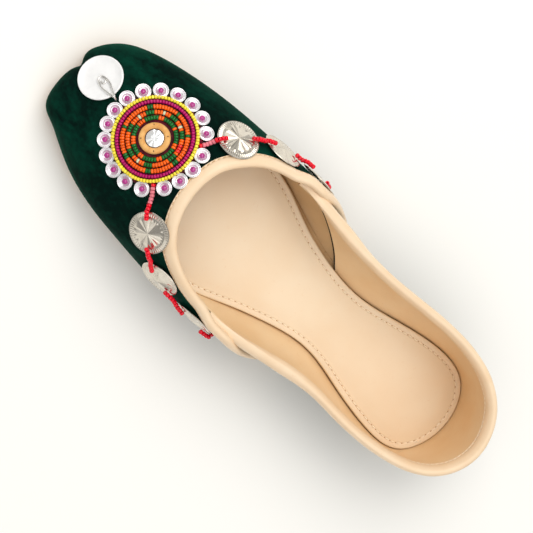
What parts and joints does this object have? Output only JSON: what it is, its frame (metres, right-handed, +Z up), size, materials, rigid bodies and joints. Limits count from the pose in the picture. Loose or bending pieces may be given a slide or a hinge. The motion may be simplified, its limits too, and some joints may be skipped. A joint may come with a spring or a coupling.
{
  "type": "mojari shoe",
  "caption": "Flat slip-on mojari shoe in green velvet with leather bindings, beaded mirror medallion, strung silver discs and a hinged coin at the toe.",
  "frame": {"origin": "on the ground, at the bottom centre of the shoe's box", "axes": "+Y from toe to heel along the shoe, +Z up, +X to the medial side of a right shoe"},
  "size_m": [0.0856, 0.2502, 0.053],
  "materials": {
    "velvet": "cotton velvet, deep green, vamp",
    "velvet_quarter": "cotton velvet, deep green, quarter",
    "lining_leather": "smooth tan lining leather",
    "binding_leather": "smooth rolled tan leather binding",
    "sole_leather": "vegetable tanned sole leather",
    "felt": "dark red felt",
    "beads_yellow": "opaque yellow seed beads",
    "beads_magenta": "opaque magenta seed beads",
    "beads_orange": "opaque orange and green seed beads",
    "beads_red": "red seed beads, some translucent pink",
    "wound_thread": "tan thread wound on a ring",
    "mirror_glass": "small round mirror",
    "bezel_silver": "silvered cups with pink beads",
    "coin_silver": "plain white metal coin",
    "wire_silver": "silver wire",
    "disc_silver": "stamped fluted sheet, milled border"
  },
  "bodies": {
    "shoe": {"outsole": "sole_leather", "insole": "lining_leather", "vamp": "velvet", "quarter": "velvet_quarter", "throat_binding": "binding_leather", "topline_binding": "binding_leather", "medallion_felt": "felt", "bead_ring_yellow": "beads_yellow", "bead_ring_magenta": "beads_magenta", "bead_ring_outer": "beads_orange", "bead_ring_middle": "beads_orange", "bead_ring_inner": "beads_orange", "mirror_frame": "wound_thread", "mirror": "mirror_glass", "coin_eye": "wire_silver", "bezel_01": "bezel_silver", "bezel_02": "bezel_silver", "bezel_03": "bezel_silver", "bezel_04": "bezel_silver", "bezel_05": "bezel_silver", "bezel_06": "bezel_silver", "bezel_07": "bezel_silver", "bezel_08": "bezel_silver", "bezel_09": "bezel_silver", "bezel_10": "bezel_silver", "bezel_11": "bezel_silver", "bezel_12": "bezel_silver", "bezel_13": "bezel_silver", "bezel_14": "bezel_silver", "bezel_15": "bezel_silver", "bezel_16": "bezel_silver", "bezel_17": "bezel_silver", "bezel_18": "bezel_silver", "disc_medial_1": "disc_silver", "disc_medial_2": "disc_silver", "disc_medial_3": "disc_silver", "disc_lateral_1": "disc_silver", "disc_lateral_2": "disc_silver", "disc_lateral_3": "disc_silver", "strand_medial_1": "beads_red", "strand_medial_2": "beads_red", "strand_medial_3": "beads_red", "strand_medial_4": "beads_red", "strand_lateral_1": "beads_red", "strand_lateral_2": "beads_red", "strand_lateral_3": "beads_red", "strand_lateral_4": "beads_red"},
    "coin": {"coin": "coin_silver", "coin_loop": "wire_silver"}
  },
  "joints": [
    {"name": "coin_flip", "type": "hinge", "parent": "shoe", "child": "coin", "pos_m": [-0.00415, -0.10679, 0.03048], "axis": [-0.9807, 0.1744, 0.0881], "range_deg": [0, 115]}
  ]
}
